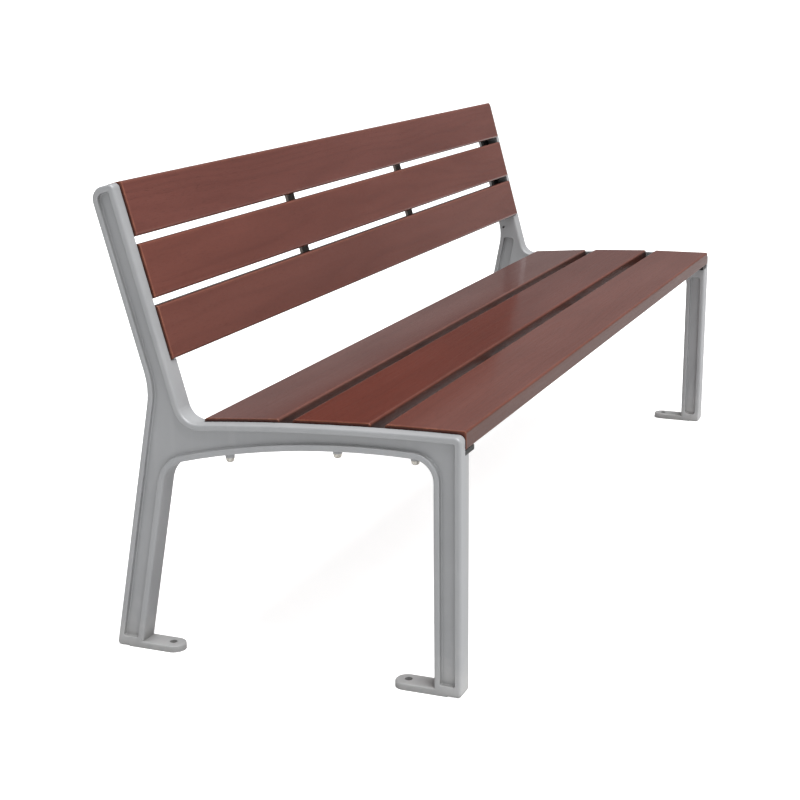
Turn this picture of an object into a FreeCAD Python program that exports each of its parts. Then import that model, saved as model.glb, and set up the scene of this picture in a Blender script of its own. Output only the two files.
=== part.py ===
import FreeCAD, Part
import math
import os

# Garden bench: two mirrored cast end frames carry three seat slats and three back slats.
# Frame: +X to the sitter's left, front of the seat towards -Y, +Z up. Origin on the floor
# under the middle of the bench. All sizes in millimetres, angles in degrees.

# overall sizes
bench_length = 1800.0
foot_depth = 630.0
slat_overhang = 1.5
seat_front_height = 430.5
seat_fall = 24.5

# end frame casting
frame_thickness = 40.0
leg_depth = 46.0
post_wall = 19.85
post_end_drop = 1.0
back_leg_width = 48.0
back_lean = 15.6
bend_height = 460.2
crook_behind_slats = 27.2
rail_crown = 6.3
ledge_thickness = 10.2
rear_rail_depth = 73.0
arch_crown = 20.6

# roundings of the frame outline
front_top_radius = 10.0
crook_radius = 32.0
post_front_radius = 8.0
post_rear_radius = 22.0
bend_radius = 120.0
arch_rear_radius = 50.0
arch_front_radius = 35.0
casting_edge_radius = 4.5
foot_corner_radius = 6.0

# sunk panels in the two sides of the casting
rim_width = 10.5
panel_depth = 8.0
panel_floor = 18.0
panel_corner_radius = 3.0
panel_mouth_radius = 1.8
panel_floor_radius = 2.4
panel_ramp_radius = 7.0
inner_back_panel_rise = 43.0
inner_front_panel_drop = 11.5
inner_panel_radius = 8.0

# foot plates with one anchor hole each
plate_thickness = 12.0
plate_reach = 73.0
anchor_hole_diameter = 13.0
anchor_hole_from_tip = 22.0
plate_edge_radius = 3.0

# slats
slat_thickness = 30.0
seat_slat_width = 135.0
seat_slat_gap = 24.0
back_slat_width = 90.0
back_slat_gap = 12.0
back_slat_start = 105.0
seat_slat_proud = 6.0
back_slat_proud = 5.0
slat_edge_radius = 4.5
slat_end_radius = 1.0

# where slat ends sit in the frame
outer_strip_share = 0.5
slat_end_gap = 0.6
pocket_side_gap = 1.2
seat_clearance = 0.15

# steel bars under and behind the slats
bearer_width = 40.0
bearer_thickness = 8.0
strap_width = 29.0
strap_thickness = 6.0
strap_position = 271.0
back_strap_margin = 8.0
seat_strap_margin = 26.0
back_bearer_width = 36.0
back_bearer_thickness = 6.0
back_bearer_margin = 4.0

# fasteners
bolt_diameter = 8.0
bolt_hole_gap = 0.3
wood_hole_gap = 0.05
bolt_grip_in_wood = 22.0
bolt_head_diameter = 13.0
bolt_head_height = 6.0
washer_diameter = 14.5
washer_thickness = 1.5
boss_diameter = 15.0
boss_drop = 9.5
rear_bolt_shift = 28.0
middle_bolt_shift = -6.0
front_bolt_shift = 20.0
counterbore_diameter = 16.0
strap_screw_diameter = 5.0
strap_screw_head = 10.0
strap_screw_head_height = 3.0
strap_screw_spread = 28.0
strap_screw_grip = 20.0
sight_hole_diameter = 6.0
sight_hole_rise = 79.0
sight_hole_from_rear = 11.0
sight_hole_depth = 6.0

# derived positions
half_length = bench_length / 2
total_depth = foot_depth + slat_overhang
leg_front = -total_depth / 2 + slat_overhang
foot_rear = total_depth / 2
lean = math.radians(back_lean)
inner_face = half_length - frame_thickness
slat_end = half_length - frame_thickness * outer_strip_share
slat_half = slat_end - slat_end_gap
bolt_x = (inner_face + slat_end) / 2
crook_height = seat_front_height - seat_fall
slats_depth = 3 * seat_slat_width + 2 * seat_slat_gap
crook_y = leg_front - slat_overhang + slats_depth + crook_behind_slats
seat_pocket_depth = slat_thickness - seat_slat_proud + seat_clearance
back_pocket_depth = slat_thickness - back_slat_proud + seat_clearance
post_depth = back_pocket_depth + post_wall
back_slats_depth = 3 * back_slat_width + 2 * back_slat_gap
post_length = back_slat_start + back_slats_depth - post_end_drop
post_rear_y = crook_y + post_depth / math.cos(lean) + (bend_height - crook_height) * math.tan(lean)
splay = math.atan((foot_rear - post_rear_y) / bend_height)


def circle_through(front, rear, crown):
    """Centre and radius of the circle through two points that bulges upwards by crown."""
    run = rear[0] - front[0]
    rise = rear[1] - front[1]
    chord = math.hypot(run, rise)
    radius = (chord / 2) ** 2 / (2 * crown) + crown / 2
    drop = radius - crown
    middle = ((front[0] + rear[0]) / 2, (front[1] + rear[1]) / 2)
    return (middle[0] + drop * rise / chord, middle[1] - drop * run / chord), radius


def meet_lines(first, first_way, second, second_way):
    """Point where two lines, each a point and a direction, cross."""
    cross = first_way[0] * second_way[1] - first_way[1] * second_way[0]
    apart = (second[0] - first[0], second[1] - first[1])
    along = (apart[0] * second_way[1] - apart[1] * second_way[0]) / cross
    return (first[0] + along * first_way[0], first[1] + along * first_way[1])


def meet_circle(centre, radius, point, way):
    """Upper crossing of a circle with the line through point along way."""
    size = math.hypot(way[0], way[1])
    unit = (way[0] / size, way[1] / size)
    to_centre = (centre[0] - point[0], centre[1] - point[1])
    middle = to_centre[0] * unit[0] + to_centre[1] * unit[1]
    off = to_centre[0] * unit[1] - to_centre[1] * unit[0]
    half = math.sqrt(radius ** 2 - off ** 2)
    if unit[1] < 0:
        half = -half
    along = middle + half
    return (point[0] + along * unit[0], point[1] + along * unit[1])


back_leg_run = back_leg_width / math.cos(splay)
rail_centre, rail_radius = circle_through(
    (leg_front, seat_front_height), (crook_y, crook_height), rail_crown
)
slat_sag = rail_radius - math.sqrt(rail_radius ** 2 - (seat_slat_width / 2) ** 2)
bar_top = -(seat_pocket_depth + slat_sag)
bearer_bottom = bar_top - bearer_thickness
ledge_top = bearer_bottom - seat_clearance
arch_front_height = seat_front_height + ledge_top - ledge_thickness
arch_rear_height = crook_height - rear_rail_depth
arch_rear_y = foot_rear - back_leg_run - arch_rear_height * math.tan(splay)
arch_centre, arch_radius = circle_through(
    (leg_front + leg_depth, arch_front_height), (arch_rear_y, arch_rear_height), arch_crown
)
post_way = (math.sin(lean), math.cos(lean))
leg_way = (-math.sin(splay), math.cos(splay))


def post_point(along, depth):
    """Point of the back rest: along the post from the crook, depth behind its front."""
    return (
        crook_y + along * math.sin(lean) + depth * math.cos(lean),
        crook_height + along * math.cos(lean) - depth * math.sin(lean),
    )


def rail_point(angle, height):
    """Point of the seat: angle back from the top of the rail circle, height above it."""
    reach = rail_radius + height
    return (
        rail_centre[0] + reach * math.sin(angle),
        rail_centre[1] + reach * math.cos(angle),
    )


def rail_angle(y, height):
    """Angle on the rail circle, raised by height, where the depth is y."""
    return math.asin((y - rail_centre[0]) / (rail_radius + height))


def space(point, x=0.0):
    """A profile point placed at x."""
    return FreeCAD.Vector(x, point[0], point[1])


def middle_of_arc(centre, radius, first, last):
    """Point of the circle halfway between two of its points."""
    mid = ((first[0] + last[0]) / 2 - centre[0], (first[1] + last[1]) / 2 - centre[1])
    size = math.hypot(mid[0], mid[1])
    return (centre[0] + mid[0] * radius / size, centre[1] + mid[1] * radius / size)


def arc(centre, radius, first, last):
    """Edge along a circle from first to last."""
    middle = middle_of_arc(centre, radius, first, last)
    return Part.Arc(space(first), space(middle), space(last)).toShape()


def line(first, last):
    """Straight edge from first to last."""
    return Part.makeLine(space(first), space(last))


def prism(edges, start_x, end_x):
    """Solid made by pushing a closed outline from start_x to end_x."""
    face = Part.Face(Part.Wire(edges))
    face.translate(FreeCAD.Vector(start_x, 0, 0))
    return face.extrude(FreeCAD.Vector(end_x - start_x, 0, 0))


def polygon(points):
    """Edges of the closed polygon through the points."""
    count = len(points)
    return [line(points[i], points[(i + 1) % count]) for i in range(count)]


def edge_at(solid, point):
    """The edge of a prism that runs along X through a profile point."""
    for edge in solid.Edges:
        ends = [vertex.Point for vertex in edge.Vertexes]
        if len(ends) != 2:
            continue
        if max(abs(ends[0].y - point[0]), abs(ends[0].z - point[1])) > 0.01:
            continue
        if max(abs(ends[1].y - point[0]), abs(ends[1].z - point[1])) > 0.01:
            continue
        if abs(ends[0].x - ends[1].x) > 0.01:
            return edge
    raise ValueError("no edge at %s" % (point,))


def round_corners(solid, corners):
    """Round the listed (point, radius) corners of a prism."""
    for point, radius in corners:
        solid = solid.makeFillet(radius, [edge_at(solid, point)])
    return solid


def frame_body(inset, floor, start_x, end_x):
    """The frame outline, or the same outline moved inwards by inset, as a solid."""
    front_y = leg_front + inset
    rear_y = leg_front + leg_depth - inset
    level = (1.0, 0.0)
    upright = (0.0, 1.0)
    leg_rear = (foot_rear - inset / math.cos(splay), 0.0)
    leg_inner = (foot_rear - back_leg_run + inset / math.cos(splay), 0.0)
    a = (front_y, floor)
    b = meet_circle(rail_centre, rail_radius - inset, a, upright)
    c = meet_circle(rail_centre, rail_radius - inset, post_point(0, inset), post_way)
    d = post_point(post_length - inset, inset)
    e = post_point(post_length - inset, post_depth - inset)
    f = meet_lines(post_point(0, post_depth - inset), post_way, leg_rear, leg_way)
    g = meet_lines(leg_rear, leg_way, (0.0, floor), level)
    h = meet_lines(leg_inner, leg_way, (0.0, floor), level)
    i = meet_circle(arch_centre, arch_radius + inset, leg_inner, leg_way)
    j = meet_circle(arch_centre, arch_radius + inset, (rear_y, floor), upright)
    k = (rear_y, floor)
    edges = [
        line(a, b),
        arc(rail_centre, rail_radius - inset, b, c),
        line(c, d),
        line(d, e),
        line(e, f),
        line(f, g),
        line(g, h),
        line(h, i),
        arc(arch_centre, arch_radius + inset, i, j),
        line(j, k),
        line(k, a),
    ]
    body = prism(edges, start_x, end_x)
    least = panel_corner_radius
    corners = [
        (b, max(front_top_radius - inset, least)),
        (c, crook_radius + inset),
        (d, max(post_front_radius - inset, least)),
        (e, max(post_rear_radius - inset, least)),
        (f, bend_radius - inset),
        (i, arch_rear_radius + inset),
        (j, arch_front_radius + inset),
    ]
    if inset > 0:
        corners += [(a, least), (g, least), (h, least), (k, least)]
    else:
        corners += [(a, foot_corner_radius), (g, foot_corner_radius)]
    return round_corners(body, corners)


def rounded_plate(tip_y, root_y):
    """Foot plate from the leg to a round tip, with its anchor hole."""
    half_width = frame_thickness / 2
    middle_x = half_length - half_width
    way = 1.0 if tip_y > root_y else -1.0
    tip_centre = tip_y - way * half_width
    low_y = min(root_y, tip_centre)
    bar = Part.makeBox(
        frame_thickness,
        abs(tip_centre - root_y),
        plate_thickness,
        FreeCAD.Vector(middle_x - half_width, low_y, 0),
    )
    tip = Part.makeCylinder(
        half_width, plate_thickness, FreeCAD.Vector(middle_x, tip_centre, 0)
    )
    plate = bar.fuse(tip).removeSplitter()
    top_edges = []
    for edge in plate.Edges:
        box = edge.BoundBox
        level = box.ZMin > plate_thickness - 0.01
        along_root = box.YMax - box.YMin < 0.01 and abs(box.YMin - root_y) < 0.01
        if level and not along_root:
            top_edges.append(edge)
    return plate.makeFillet(plate_edge_radius, top_edges)


def anchor_hole(tip_y, way):
    """Cutter for the hole near the tip of a foot plate."""
    return Part.makeCylinder(
        anchor_hole_diameter / 2,
        plate_thickness + 2,
        FreeCAD.Vector(half_length - frame_thickness / 2, tip_y - way * anchor_hole_from_tip, -1),
    )


# slat positions on the curved rail, front slat first
slat_angle = 2 * math.asin(seat_slat_width / 2 / (rail_radius + seat_slat_proud))
gap_angle = seat_slat_gap / (rail_radius + seat_slat_proud)
first_angle = rail_angle(leg_front - slat_overhang, seat_slat_proud)
seat_starts = [first_angle + n * (slat_angle + gap_angle) for n in range(3)]
seat_rear_angle = seat_starts[2] + slat_angle
back_starts = [back_slat_start + n * (back_slat_width + back_slat_gap) for n in range(3)]
bolt_shifts = (front_bolt_shift, middle_bolt_shift, rear_bolt_shift)


def seat_slat_outline(start):
    """Corners of a seat slat: front top, rear top, rear bottom, front bottom."""
    front = rail_point(start, seat_slat_proud)
    rear = rail_point(start + slat_angle, seat_slat_proud)
    run = ((rear[0] - front[0]) / seat_slat_width, (rear[1] - front[1]) / seat_slat_width)
    down = (run[1] * slat_thickness, -run[0] * slat_thickness)
    return [
        front,
        rear,
        (rear[0] + down[0], rear[1] + down[1]),
        (front[0] + down[0], front[1] + down[1]),
    ]


def seat_middle(start):
    """Depth of the middle of a seat slat."""
    corners = seat_slat_outline(start)
    return (corners[0][0] + corners[1][0]) / 2


def seat_bottom_height(start, y):
    """Height of the underside of a seat slat at depth y."""
    rear = seat_slat_outline(start)[2]
    front = seat_slat_outline(start)[3]
    share = (y - front[0]) / (rear[0] - front[0])
    return front[1] + share * (rear[1] - front[1])


def arch_height(y):
    """Height of the underside of the seat rail at depth y."""
    off = y - arch_centre[0]
    return arch_centre[1] + math.sqrt(arch_radius ** 2 - off ** 2)


def seat_bolt_places():
    """(depth, bottom of boss, underside of slat) for the three seat bolts."""
    places = []
    for start, shift in zip(seat_starts, bolt_shifts):
        y = seat_middle(start) + shift
        places.append((y, arch_height(y) - boss_drop, seat_bottom_height(start, y)))
    return places


def back_bolt_places():
    """Distance along the post of the three back slat bolts."""
    return [start + back_slat_width / 2 for start in back_starts]


def back_rod(x, along, near_depth, far_depth, diameter):
    """Cylinder square to the back rest between two depths."""
    start = post_point(along, near_depth)
    way = FreeCAD.Vector(0, math.cos(lean), -math.sin(lean))
    return Part.makeCylinder(diameter / 2, far_depth - near_depth, space(start, x), way)


def upright_rod(x, y, low, high, diameter):
    """Cylinder along Z between two heights."""
    return Part.makeCylinder(diameter / 2, high - low, FreeCAD.Vector(x, y, low))


def seat_rod(x, angle, low, high, diameter):
    """Cylinder square to the seat curve between two heights above the rail."""
    way = FreeCAD.Vector(0, math.sin(angle), math.cos(angle))
    return Part.makeCylinder(diameter / 2, high - low, space(rail_point(angle, low), x), way)


def band(low, high, start_angle, end_angle, start_x, end_x):
    """Bar that follows the seat curve between two heights above the rail."""
    a = rail_point(start_angle, low)
    b = rail_point(start_angle, high)
    c = rail_point(end_angle, high)
    d = rail_point(end_angle, low)
    edges = [
        line(a, b),
        arc(rail_centre, rail_radius + high, b, c),
        line(c, d),
        arc(rail_centre, rail_radius + low, d, a),
    ]
    return prism(edges, start_x, end_x)


def make_frame():
    """The end frame on the +X side, as one casting."""
    body = frame_body(0.0, 0.0, inner_face, half_length)
    side_edges = []
    for edge in body.Edges:
        box = edge.BoundBox
        on_side = box.XMin > half_length - 0.01 or box.XMax < inner_face + 0.01
        if on_side and box.ZMax > 1.0:
            side_edges.append(edge)
    body = body.makeFillet(casting_edge_radius, side_edges)
    front_tip = leg_front + leg_depth + plate_reach
    back_tip = foot_rear - back_leg_run - plate_reach
    body = body.fuse(rounded_plate(front_tip, leg_front + leg_depth / 2))
    body = body.fuse(rounded_plate(back_tip, foot_rear - back_leg_run / 2))
    for y, boss_bottom, slat_bottom in seat_bolt_places():
        boss = upright_rod(bolt_x, y, boss_bottom, arch_height(y) + 4, boss_diameter)
        body = body.fuse(boss)
    body = body.removeSplitter()
    floor_x = half_length - panel_depth
    outer = frame_body(rim_width, panel_floor, floor_x, half_length + 1)
    body = body.cut(round_panel_floor(outer, floor_x))
    floor_x = inner_face + panel_depth
    body = body.cut(round_panel_floor(make_back_panel(), floor_x))
    body = body.cut(round_panel_floor(make_front_panel(), floor_x))
    body = soften_mouths(body)
    body = body.cut(seat_pocket())
    for cutter in back_pockets():
        body = body.cut(cutter)
    body = body.cut(anchor_hole(front_tip, 1.0))
    body = body.cut(anchor_hole(back_tip, -1.0))
    for y, boss_bottom, slat_bottom in seat_bolt_places():
        hole = bolt_diameter + 2 * bolt_hole_gap
        body = body.cut(upright_rod(bolt_x, y, boss_bottom - 1, slat_bottom, hole))
    for along in back_bolt_places():
        hole = bolt_diameter + 2 * bolt_hole_gap
        body = body.cut(back_rod(bolt_x, along, 0, post_depth + 1, hole))
        sunk = post_depth - bolt_head_height - washer_thickness - 0.5
        body = body.cut(back_rod(bolt_x, along, sunk, post_depth + 1, counterbore_diameter))
    body = body.cut(sight_hole())
    return body.removeSplitter()


def round_panel_floor(cutter, floor_x):
    """Round the floor edges of a sunk panel, most of all at its foot."""
    ramps = []
    others = []
    for edge in cutter.Edges:
        box = edge.BoundBox
        if abs(box.XMin - floor_x) > 0.01 or abs(box.XMax - floor_x) > 0.01:
            continue
        level = box.ZMax - box.ZMin < 0.01 and abs(box.ZMin - panel_floor) < 0.01
        if level:
            ramps.append(edge)
        else:
            others.append(edge)
    return cutter.makeFillet(panel_floor_radius, ramps + others)


def soften_mouths(body):
    """Round the mouth edges of the sunk panels."""
    edges = []
    for edge in body.Edges:
        box = edge.BoundBox
        for face_x in (inner_face, half_length):
            if abs(box.XMin - face_x) < 0.01 and abs(box.XMax - face_x) < 0.01:
                if on_panel_mouth(edge):
                    edges.append(edge)
    return body.makeFillet(panel_mouth_radius, edges)


def on_panel_mouth(edge):
    """Whether an edge of the casting's side borders a sunk panel."""
    middle = edge.valueAt((edge.FirstParameter + edge.LastParameter) / 2)
    mouth = frame_body(rim_width, panel_floor, -1, 1)
    point = FreeCAD.Vector(0, middle.y, middle.z)
    return mouth.isInside(point, 0.05, True)


def make_back_panel():
    """Sunk panel in the inner side of the back leg."""
    offset = rim_width / math.cos(splay)
    low = panel_floor
    high = crook_height + inner_back_panel_rise
    slope = math.tan(splay)
    front_y = foot_rear - back_leg_run + offset
    rear_y = foot_rear - offset
    corners = [
        (front_y - low * slope, low),
        (front_y - high * slope, high),
        (rear_y - high * slope, high),
        (rear_y - low * slope, low),
    ]
    body = prism(polygon(corners), inner_face - 1, inner_face + panel_depth)
    return round_corners(body, [(corner, inner_panel_radius) for corner in corners])


def make_front_panel():
    """Sunk panel in the inner side of the front leg."""
    front_y = leg_front + rim_width
    rear_y = leg_front + leg_depth - rim_width
    high = arch_front_height - inner_front_panel_drop
    corners = [
        (front_y, panel_floor),
        (front_y, high),
        (rear_y, high),
        (rear_y, panel_floor),
    ]
    body = prism(polygon(corners), inner_face - 1, inner_face + panel_depth)
    return round_corners(body, [(corner, inner_panel_radius) for corner in corners])


def seat_pocket():
    """Space cut in the inner half of the rail for bearer and seat slats."""
    rear = seat_rear_angle + pocket_side_gap / rail_radius
    front = first_angle - 40 / rail_radius
    return band(ledge_top, 30.0, front, rear, inner_face - 1, slat_end)


def back_pockets():
    """Spaces cut in the inner half of the post for the back slats and their bearer."""
    low = back_starts[0] - pocket_side_gap
    high = post_length + 20
    corners = [
        post_point(low, -20),
        post_point(high, -20),
        post_point(high, back_pocket_depth),
        post_point(low, back_pocket_depth),
    ]
    slats = prism(polygon(corners), inner_face - 1, slat_end)
    bar = prism(polygon(back_bearer_corners(pocket_side_gap)), inner_face - 1, slat_end)
    return [slats, bar]


def sight_hole():
    """Small blind hole in the inner side of the post just above the seat."""
    along = sight_hole_rise / math.cos(lean)
    y, z = post_point(along, post_depth - sight_hole_from_rear)
    way = FreeCAD.Vector(1, 0, 0)
    start = FreeCAD.Vector(inner_face - 1, y, z)
    return Part.makeCylinder(sight_hole_diameter / 2, sight_hole_depth + 1, start, way)


def soften_slat(slat):
    """Round the long edges of a slat and ease its ends."""
    long_edges = []
    for edge in slat.Edges:
        box = edge.BoundBox
        if box.XMax - box.XMin > 100:
            long_edges.append(edge)
    slat = slat.makeFillet(slat_edge_radius, long_edges)
    end_edges = []
    for edge in slat.Edges:
        box = edge.BoundBox
        if box.XMax - box.XMin < 0.01:
            end_edges.append(edge)
    return slat.makeFillet(slat_end_radius, end_edges)


def make_seat_slat(number):
    """A seat slat, number 0 at the front, with blind holes in its underside."""
    start = seat_starts[number]
    slat = soften_slat(prism(polygon(seat_slat_outline(start)), -slat_half, slat_half))
    y, boss_bottom, slat_bottom = seat_bolt_places()[number]
    top = slat_bottom + bolt_grip_in_wood + 1
    for x in (-bolt_x, bolt_x):
        hole = bolt_diameter + 2 * wood_hole_gap
        slat = slat.cut(upright_rod(x, y, slat_bottom - 5, top, hole))
    for x in (-strap_position, strap_position):
        for angle in seat_screw_angles(start):
            hole = strap_screw_diameter + 2 * wood_hole_gap
            top = bar_top + seat_clearance + strap_screw_grip + 1
            slat = slat.cut(seat_rod(x, angle, bar_top - 5, top, hole))
    return slat


def seat_screw_angles(start):
    """Angles of the two strap screws under a seat slat."""
    middle = start + slat_angle / 2
    spread = strap_screw_spread / rail_radius
    return (middle - spread, middle + spread)


def back_screw_places(start):
    """Distances along the post of the two strap screws of a back slat."""
    middle = start + back_slat_width / 2
    return (middle - strap_screw_spread, middle + strap_screw_spread)


def make_back_slat(number):
    """A back slat, number 0 at the bottom, with blind holes in its rear."""
    start = back_starts[number]
    rear = slat_thickness - back_slat_proud
    corners = [
        post_point(start, -back_slat_proud),
        post_point(start + back_slat_width, -back_slat_proud),
        post_point(start + back_slat_width, rear),
        post_point(start, rear),
    ]
    slat = soften_slat(prism(polygon(corners), -slat_half, slat_half))
    for x in (-bolt_x, bolt_x):
        hole = bolt_diameter + 2 * wood_hole_gap
        depth = rear - bolt_grip_in_wood - 1
        slat = slat.cut(back_rod(x, start + back_slat_width / 2, depth, rear + 5, hole))
    for x in (-strap_position, strap_position):
        for along in back_screw_places(start):
            hole = strap_screw_diameter + 2 * wood_hole_gap
            depth = rear - strap_screw_grip - 1
            slat = slat.cut(back_rod(x, along, depth, rear + 5, hole))
    return slat


def make_back_strap(x):
    """Flat bar behind the back slats, centred at x."""
    low = back_starts[0] + back_strap_margin
    high = back_starts[2] + back_slat_width - back_strap_margin
    near = back_pocket_depth
    corners = [
        post_point(low, near),
        post_point(high, near),
        post_point(high, near + strap_thickness),
        post_point(low, near + strap_thickness),
    ]
    strap = prism(polygon(corners), x - strap_width / 2, x + strap_width / 2)
    for start in back_starts:
        for along in back_screw_places(start):
            hole = strap_screw_diameter + 2 * bolt_hole_gap
            strap = strap.cut(back_rod(x, along, near - 5, near + 20, hole))
    return strap


def back_bearer_corners(gap):
    """Outline of the back bearer, grown by gap on all sides but its front."""
    low = back_starts[0] + back_bearer_margin - gap
    high = back_starts[2] + back_slat_width - back_bearer_margin + gap
    near = back_pocket_depth
    far = near + back_bearer_thickness + min(gap, seat_clearance)
    return [
        post_point(low, near - min(gap, 1)),
        post_point(high, near - min(gap, 1)),
        post_point(high, far),
        post_point(low, far),
    ]


def make_back_bearer():
    """Flat bar behind the back slat ends of the +X frame."""
    corners = back_bearer_corners(0.0)
    bearer = prism(polygon(corners), slat_half - back_bearer_width, slat_half)
    for along in back_bolt_places():
        hole = bolt_diameter + 2 * bolt_hole_gap
        bearer = bearer.cut(back_rod(bolt_x, along, 0, post_depth, hole))
    return bearer


def make_seat_strap(x):
    """Curved flat bar under the seat slats, centred at x."""
    margin = seat_strap_margin / rail_radius
    strap = band(
        bar_top - strap_thickness,
        bar_top,
        first_angle + margin,
        seat_rear_angle - margin,
        x - strap_width / 2,
        x + strap_width / 2,
    )
    for start in seat_starts:
        for angle in seat_screw_angles(start):
            hole = strap_screw_diameter + 2 * bolt_hole_gap
            strap = strap.cut(seat_rod(x, angle, bar_top - 20, bar_top + 5, hole))
    return strap


def make_bearer():
    """Curved flat bar under the slat ends of the +X frame."""
    front = rail_angle(leg_front, bar_top)
    bearer = band(
        bearer_bottom, bar_top, front, seat_rear_angle, slat_half - bearer_width, slat_half
    )
    for y, boss_bottom, slat_bottom in seat_bolt_places():
        hole = bolt_diameter + 2 * bolt_hole_gap
        bearer = bearer.cut(upright_rod(bolt_x, y, slat_bottom - 20, slat_bottom + 5, hole))
    return bearer


def domed_head(diameter, height):
    """Button head standing up from the origin along +Z."""
    head = Part.makeCylinder(diameter / 2, height)
    edges = [edge for edge in head.Edges if edge.BoundBox.ZMin > height - 0.01]
    return head.makeFillet(height * 0.6, edges)


def make_bolt(shank_length):
    """Button head bolt: head below the origin plane, shank along +Z."""
    head = domed_head(bolt_head_diameter, bolt_head_height)
    head.rotate(FreeCAD.Vector(0, 0, 0), FreeCAD.Vector(1, 0, 0), 180)
    shank = Part.makeCylinder(bolt_diameter / 2, shank_length)
    return head.fuse(shank).removeSplitter()


def make_washer():
    """Plain washer between the origin plane and +Z."""
    outer = Part.makeCylinder(washer_diameter / 2, washer_thickness)
    hole = Part.makeCylinder(bolt_diameter / 2 + bolt_hole_gap, washer_thickness)
    return outer.cut(hole)


def make_strap_screw(thickness):
    """Wood screw for a strap: head below the origin plane, shank along +Z."""
    head = domed_head(strap_screw_head, strap_screw_head_height)
    head.rotate(FreeCAD.Vector(0, 0, 0), FreeCAD.Vector(1, 0, 0), 180)
    length = thickness + seat_clearance + strap_screw_grip
    shank = Part.makeCylinder(strap_screw_diameter / 2, length)
    return head.fuse(shank).removeSplitter()


def place_back(part, x, along, depth):
    """Turn a fastener so that it points forward through the back rest and place it."""
    part = part.copy()
    part.rotate(FreeCAD.Vector(0, 0, 0), FreeCAD.Vector(1, 0, 0), 90 - back_lean)
    part.translate(space(post_point(along, depth), x))
    return part


def seat_bolts():
    """The three bolts that come up through the rail of the +X frame."""
    parts = []
    for y, boss_bottom, slat_bottom in seat_bolt_places():
        seat = boss_bottom - washer_thickness
        bolt = make_bolt(slat_bottom + bolt_grip_in_wood - seat)
        bolt.translate(FreeCAD.Vector(bolt_x, y, seat))
        parts.append(bolt)
    return Part.makeCompound(parts)


def seat_washers():
    """The washers under the heads of the seat bolts."""
    parts = []
    for y, boss_bottom, slat_bottom in seat_bolt_places():
        washer = make_washer()
        washer.translate(FreeCAD.Vector(bolt_x, y, boss_bottom - washer_thickness))
        parts.append(washer)
    return Part.makeCompound(parts)


def back_bolts():
    """The three bolts sunk in the rear of the +X post."""
    floor = post_depth - bolt_head_height - washer_thickness - 0.5
    head_depth = floor + washer_thickness
    length = head_depth - (slat_thickness - back_slat_proud) + bolt_grip_in_wood
    parts = [
        place_back(make_bolt(length), bolt_x, along, head_depth)
        for along in back_bolt_places()
    ]
    return Part.makeCompound(parts)


def back_washers():
    """The washers under the heads of the back bolts."""
    floor = post_depth - bolt_head_height - washer_thickness - 0.5
    parts = [
        place_back(make_washer(), bolt_x, along, floor + washer_thickness)
        for along in back_bolt_places()
    ]
    return Part.makeCompound(parts)


def back_strap_screws(x):
    """The six screws of a back strap."""
    depth = back_pocket_depth + strap_thickness
    parts = []
    for start in back_starts:
        for along in back_screw_places(start):
            parts.append(place_back(make_strap_screw(strap_thickness), x, along, depth))
    return Part.makeCompound(parts)


def seat_strap_screws(x):
    """The six screws of a seat strap."""
    parts = []
    lowest = bar_top - strap_thickness - seat_clearance
    for start in seat_starts:
        for angle in seat_screw_angles(start):
            screw = make_strap_screw(strap_thickness)
            turn = -math.degrees(angle)
            screw.rotate(FreeCAD.Vector(0, 0, 0), FreeCAD.Vector(1, 0, 0), turn)
            screw.translate(space(rail_point(angle, lowest), x))
            parts.append(screw)
    return Part.makeCompound(parts)


def mirrored(shape):
    """The same piece on the other end of the bench."""
    return shape.mirror(FreeCAD.Vector(0, 0, 0), FreeCAD.Vector(1, 0, 0))


def save(name, shape):
    """Write one piece, with its solids only."""
    solids = shape.Solids
    if len(solids) == 1:
        solids[0].exportStep("parts/%s.step" % name)
    else:
        Part.makeCompound(solids).exportStep("parts/%s.step" % name)


def save_pair(name, shape):
    """Write the piece of the +X end and its mirror image."""
    save("right_" + name, shape)
    save("left_" + name, mirrored(shape))


os.makedirs("parts", exist_ok=True)
save_pair("end_frame", make_frame())
save("front_seat_slat", make_seat_slat(0))
save("middle_seat_slat", make_seat_slat(1))
save("rear_seat_slat", make_seat_slat(2))
save("bottom_back_slat", make_back_slat(0))
save("middle_back_slat", make_back_slat(1))
save("top_back_slat", make_back_slat(2))
save_pair("seat_bearer", make_bearer())
save_pair("back_bearer", make_back_bearer())
save_pair("seat_bolts", seat_bolts())
save_pair("seat_bolt_washers", seat_washers())
save_pair("back_bolts", back_bolts())
save_pair("back_bolt_washers", back_washers())
save_pair("back_strap", make_back_strap(strap_position))
save_pair("seat_strap", make_seat_strap(strap_position))
save_pair("back_strap_screws", back_strap_screws(strap_position))
save_pair("seat_strap_screws", seat_strap_screws(strap_position))
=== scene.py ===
"""Garden bench: two cast end frames, three wide seat slats and three back slats.

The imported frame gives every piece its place. This file dresses the pieces in paint,
stained timber and plated steel, gives the fasteners their drive recesses, and sets up
a pale floor, soft light and the camera. Lengths are metres, angles are degrees.
"""

import logging
import math
from dataclasses import dataclass
from enum import Enum
from typing import Any, ClassVar

import bmesh
import bpy
import numpy as np
from mathutils import Matrix, Vector


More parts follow.
